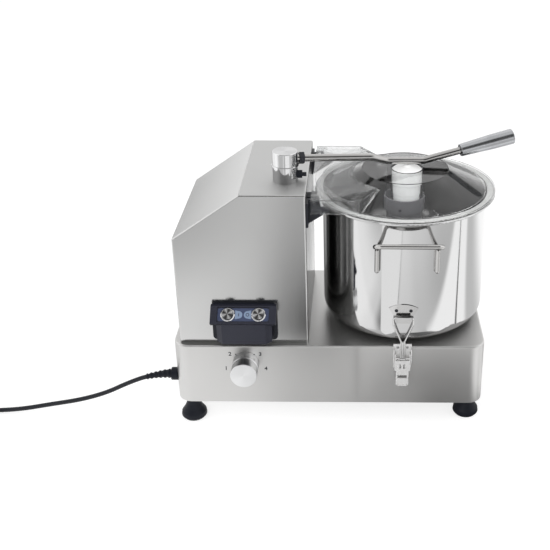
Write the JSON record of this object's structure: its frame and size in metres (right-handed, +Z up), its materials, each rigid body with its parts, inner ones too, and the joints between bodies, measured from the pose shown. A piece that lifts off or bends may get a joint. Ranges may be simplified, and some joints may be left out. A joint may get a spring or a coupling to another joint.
{
  "type": "bowl cutter",
  "caption": "Tabletop vertical bowl cutter with a polished steel bowl, clear lid held by a swinging lever, side motor housing, speed knob and draw latches.",
  "frame": {"origin": "on the bench, below the middle of the machine without its cord", "axes": "+X from the motor housing towards the bowl, +Y from the control side to the back, +Z up"},
  "size_m": [1.0432, 0.4191, 0.4906],
  "materials": {
    "base_steel": "satin, fine vertical grain",
    "housing_steel": "satin, fine grain",
    "polished_steel": "mirror polished stainless steel",
    "wire_steel": "polished wire",
    "latch_steel": "bright pressed steel",
    "chrome": "chrome plated",
    "rod_steel": "drawn bar, satin",
    "grip_chrome": "turned and polished",
    "dark_steel": "blackened",
    "shaft_steel": "ground",
    "blade_steel": "ground and sharpened",
    "button_steel": "satin chrome",
    "pulley_aluminium": "turned",
    "hub_aluminium": "dark grey anodised",
    "knob_aluminium": "turned, radial brushed face",
    "motor_casting": "die cast",
    "black_metal": "black satin",
    "foot_rubber": "semi matte",
    "seal_rubber": "matte, pale",
    "belt_rubber": "matte",
    "cord_rubber": "semi matte",
    "clear_plastic": "clear, polished",
    "white_plastic": "fine matte",
    "black_plastic": "fine grain",
    "switch_plastic": "blue-black, fine grain"
  },
  "bodies": {
    "machine": {"base_shell": "base_steel", "base_floor_plate": "base_steel", "housing_shell": "housing_steel", "housing_back_panel": "housing_steel", "foot_front_left": "foot_rubber", "foot_front_right": "foot_rubber", "foot_rear_left": "foot_rubber", "foot_rear_right": "foot_rubber", "motor_body": "motor_casting", "drive_belt": "belt_rubber", "bearing_housing": "motor_casting", "spindle_bearings": "shaft_steel", "bowl_seat": "polished_steel", "bowl": "polished_steel", "bowl_column": "polished_steel", "bowl_rim": "polished_steel", "bowl_handle_front": "wire_steel", "bowl_handle_rear": "wire_steel", "hinge_bracket_front": "black_metal", "hinge_bracket_rear": "black_metal", "safety_switch": "black_plastic", "lever_post": "chrome", "stop_bolt": "dark_steel", "latch_keeper_front": "latch_steel", "latch_keeper_rear": "latch_steel", "latch_bracket_front": "latch_steel", "latch_bracket_rear": "latch_steel", "switch_plate": "switch_plastic", "switch_box": "switch_plastic", "button_bezels": "button_steel", "speed_control": "black_plastic", "cord_gland": "cord_rubber", "mains_cord": "cord_rubber", "cord_coil": "cord_rubber", "plug": "cord_rubber"},
    "spindle": {"spindle_shaft": "shaft_steel", "spindle_pulley": "pulley_aluminium", "blade_hub": "hub_aluminium", "blade_lower": "blade_steel", "blade_upper": "blade_steel", "hub_grub_screw": "dark_steel"},
    "motor_rotor": {"motor_shaft": "shaft_steel", "motor_pulley": "pulley_aluminium"},
    "lever": {"lever_cap": "chrome", "lever_rod": "rod_steel", "lever_lock_nut": "dark_steel", "lever_grip": "grip_chrome"},
    "lid": {"lid_dome": "clear_plastic", "lid_hood": "clear_plastic", "lid_gasket": "seal_rubber", "hinge_block_front": "clear_plastic", "hinge_block_rear": "clear_plastic", "press_knob": "white_plastic"},
    "start_key": {"start_button": "button_steel"},
    "stop_key": {"stop_button": "button_steel"},
    "speed_dial": {"speed_knob": "knob_aluminium"},
    "front_latch": {"latch_lever_front": "latch_steel"},
    "front_loop": {"latch_loop_front": "wire_steel"},
    "rear_latch": {"latch_lever_rear": "latch_steel"},
    "rear_loop": {"latch_loop_rear": "wire_steel"}
  },
  "joints": [
    {"name": "spindle_spin", "type": "hinge", "parent": "machine", "child": "spindle", "pos_m": [0.103, 0, 0.2], "axis": [0, 0, 1], "continuous": true},
    {"name": "motor_spin", "type": "hinge", "parent": "machine", "child": "motor_rotor", "pos_m": [-0.1776, 0, 0.2], "axis": [0, 0, 1], "continuous": true},
    {"name": "lever_swing", "type": "hinge", "parent": "machine", "child": "lever", "pos_m": [-0.0996, -0.0645, 0.46], "axis": [0, 0, 1], "range_deg": [0, 100]},
    {"name": "lid_hinge", "type": "hinge", "parent": "machine", "child": "lid", "pos_m": [-0.0496, 0, 0.419], "axis": [0, -1, 0], "range_deg": [0, 7]},
    {"name": "start_press", "type": "slide", "parent": "machine", "child": "start_key", "axis": [0, 0.7071, -0.7071], "range_m": [0, 0.003], "stiffness_N_per_m": 500, "springref_m": -0.002},
    {"name": "stop_press", "type": "slide", "parent": "machine", "child": "stop_key", "axis": [0, 0.7071, -0.7071], "range_m": [0, 0.003], "stiffness_N_per_m": 500, "springref_m": -0.002},
    {"name": "speed_turn", "type": "hinge", "parent": "machine", "child": "speed_dial", "pos_m": [-0.1721, -0.16, 0.127], "axis": [0, -1, 0], "range_deg": [-270, 0]},
    {"name": "front_latch_turn", "type": "hinge", "parent": "machine", "child": "front_latch", "pos_m": [0.0989, -0.1485, 0.15], "axis": [-1, 0, 0], "range_deg": [0, 84]},
    {"name": "front_loop_turn", "type": "hinge", "parent": "front_latch", "child": "front_loop", "pos_m": [0.0989, -0.1485, 0.142], "axis": [-1, 0, 0], "range_deg": [-79, 0]},
    {"name": "rear_latch_turn", "type": "hinge", "parent": "machine", "child": "rear_latch", "pos_m": [0.1071, 0.1485, 0.15], "axis": [1, 0, 0], "range_deg": [0, 84]},
    {"name": "rear_loop_turn", "type": "hinge", "parent": "rear_latch", "child": "rear_loop", "pos_m": [0.1071, 0.1485, 0.142], "axis": [1, 0, 0], "range_deg": [-79, 0]}
  ],
  "couplings": [
    {"joint": "motor_spin", "follows": "spindle_spin", "ratio": 1.664},
    {"joint": "lid_hinge", "follows": "lever_swing", "ratio": 0.07},
    {"joint": "front_loop_turn", "follows": "front_latch_turn", "ratio": -0.93},
    {"joint": "rear_loop_turn", "follows": "rear_latch_turn", "ratio": -0.93}
  ]
}
